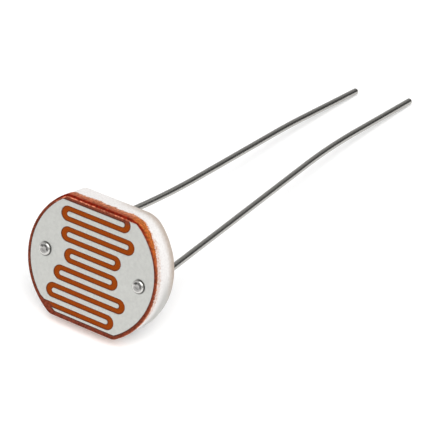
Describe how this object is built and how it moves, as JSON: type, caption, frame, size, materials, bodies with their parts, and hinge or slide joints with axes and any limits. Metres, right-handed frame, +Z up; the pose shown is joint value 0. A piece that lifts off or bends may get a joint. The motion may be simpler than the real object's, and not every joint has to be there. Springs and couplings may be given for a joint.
{
  "type": "photoresistor",
  "caption": "Round ceramic photoresistor with flattened top and bottom, a winding orange track between silver comb electrodes, and long wire leads on which it leans back.",
  "frame": {"origin": "below the middle of the part's box, on the surface that the disc's lower edge and the ends of the leads rest on", "axes": "+X from the left lead to the right one, +Y back along the leads, +Z up; the face looks towards -Y and leans back"},
  "size_m": [0.013, 0.0412, 0.0104],
  "materials": {
    "ceramic": "matt white pressed ceramic",
    "sensitive_layer": "orange-brown sintered layer under clear lacquer",
    "metal_film": "pale grey evaporated metal under clear lacquer",
    "lead_wire": "tinned drawn wire"
  },
  "bodies": {
    "root": {"ceramic_substrate": "ceramic", "cds_layer": "sensitive_layer", "electrode_left": "metal_film", "electrode_right": "metal_film", "lead_left": "lead_wire", "lead_right": "lead_wire"}
  },
  "joints": []
}
